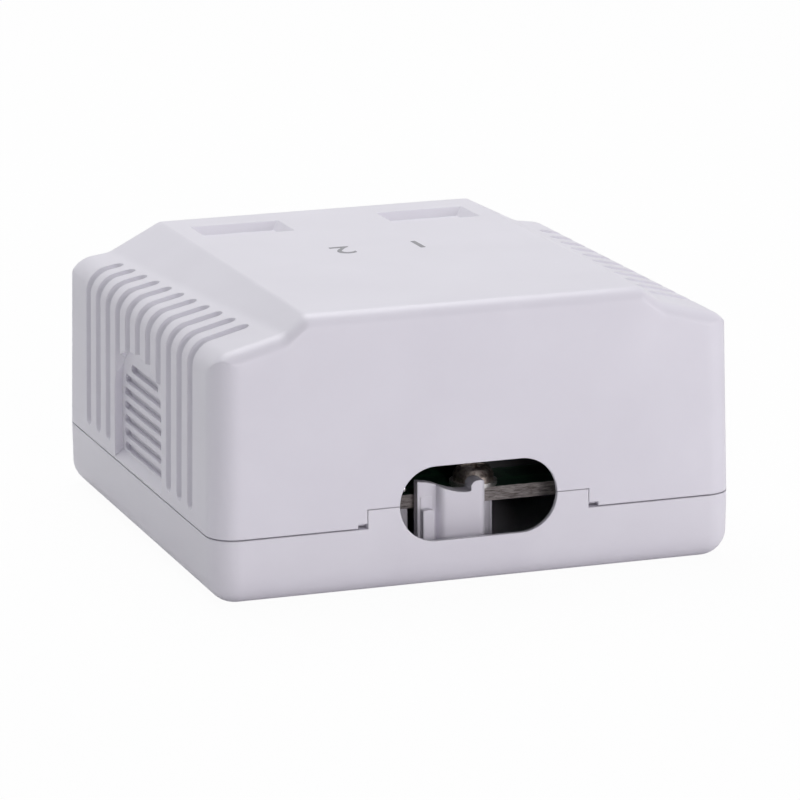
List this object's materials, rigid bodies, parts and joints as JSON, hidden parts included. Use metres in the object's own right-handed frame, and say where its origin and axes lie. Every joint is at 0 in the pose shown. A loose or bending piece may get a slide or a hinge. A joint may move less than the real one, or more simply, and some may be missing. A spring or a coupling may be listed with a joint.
{
  "type": "surface mount jack box",
  "caption": "Wall box with a lift-off cover over a circuit board that carries modular jacks and punch-down blocks, with a cable entry opposite the ports.",
  "frame": {"origin": "middle of the base's underside, where the box meets the wall", "axes": "+Z away from the wall, -Y towards the ports, +Y towards the cable entry, +X across the box"},
  "size_m": [0.062, 0.0608, 0.0323],
  "materials": {
    "cover_white": "semi-gloss moulded",
    "housing_white": "semi-gloss moulded",
    "board": "solder mask over glass laminate, raw edge",
    "screw_steel": "nickel plated",
    "washer_steel": "zinc plated",
    "jack_plastic": "moulded",
    "carrier_plastic": "moulded",
    "block_plastic": "moulded",
    "contact_gold": "gold plated",
    "contact_tin": "tin plated"
  },
  "bodies": {
    "base": {"base_shell": "housing_white", "circuit_board": "board", "board_screw_rear": "screw_steel", "screw_washer_rear": "washer_steel", "board_screw_front": "screw_steel", "screw_washer_front": "washer_steel", "jack_housing_left": "jack_plastic", "contact_carrier_left": "carrier_plastic", "jack_contact_left_1": "contact_gold", "jack_contact_left_2": "contact_gold", "jack_contact_left_3": "contact_gold", "jack_contact_left_4": "contact_gold", "jack_contact_left_5": "contact_gold", "jack_contact_left_6": "contact_gold", "jack_contact_left_7": "contact_gold", "jack_contact_left_8": "contact_gold", "punch_block_left_front": "block_plastic", "punch_contact_left_front_1": "contact_tin", "punch_contact_left_front_2": "contact_tin", "punch_contact_left_front_3": "contact_tin", "punch_contact_left_front_4": "contact_tin", "punch_block_left_rear": "block_plastic", "punch_contact_left_rear_1": "contact_tin", "punch_contact_left_rear_2": "contact_tin", "punch_contact_left_rear_3": "contact_tin", "punch_contact_left_rear_4": "contact_tin", "jack_housing_right": "jack_plastic", "contact_carrier_right": "carrier_plastic", "jack_contact_right_1": "contact_gold", "jack_contact_right_2": "contact_gold", "jack_contact_right_3": "contact_gold", "jack_contact_right_4": "contact_gold", "jack_contact_right_5": "contact_gold", "jack_contact_right_6": "contact_gold", "jack_contact_right_7": "contact_gold", "jack_contact_right_8": "contact_gold", "punch_block_right_front": "block_plastic", "punch_contact_right_front_1": "contact_tin", "punch_contact_right_front_2": "contact_tin", "punch_contact_right_front_3": "contact_tin", "punch_contact_right_front_4": "contact_tin", "punch_block_right_rear": "block_plastic", "punch_contact_right_rear_1": "contact_tin", "punch_contact_right_rear_2": "contact_tin", "punch_contact_right_rear_3": "contact_tin", "punch_contact_right_rear_4": "contact_tin"},
    "cover": {"cover_shell": "cover_white"}
  },
  "joints": [
    {"name": "cover_lift", "type": "slide", "parent": "base", "child": "cover", "axis": [0, 0, 1], "range_m": [0, 0.035]}
  ]
}
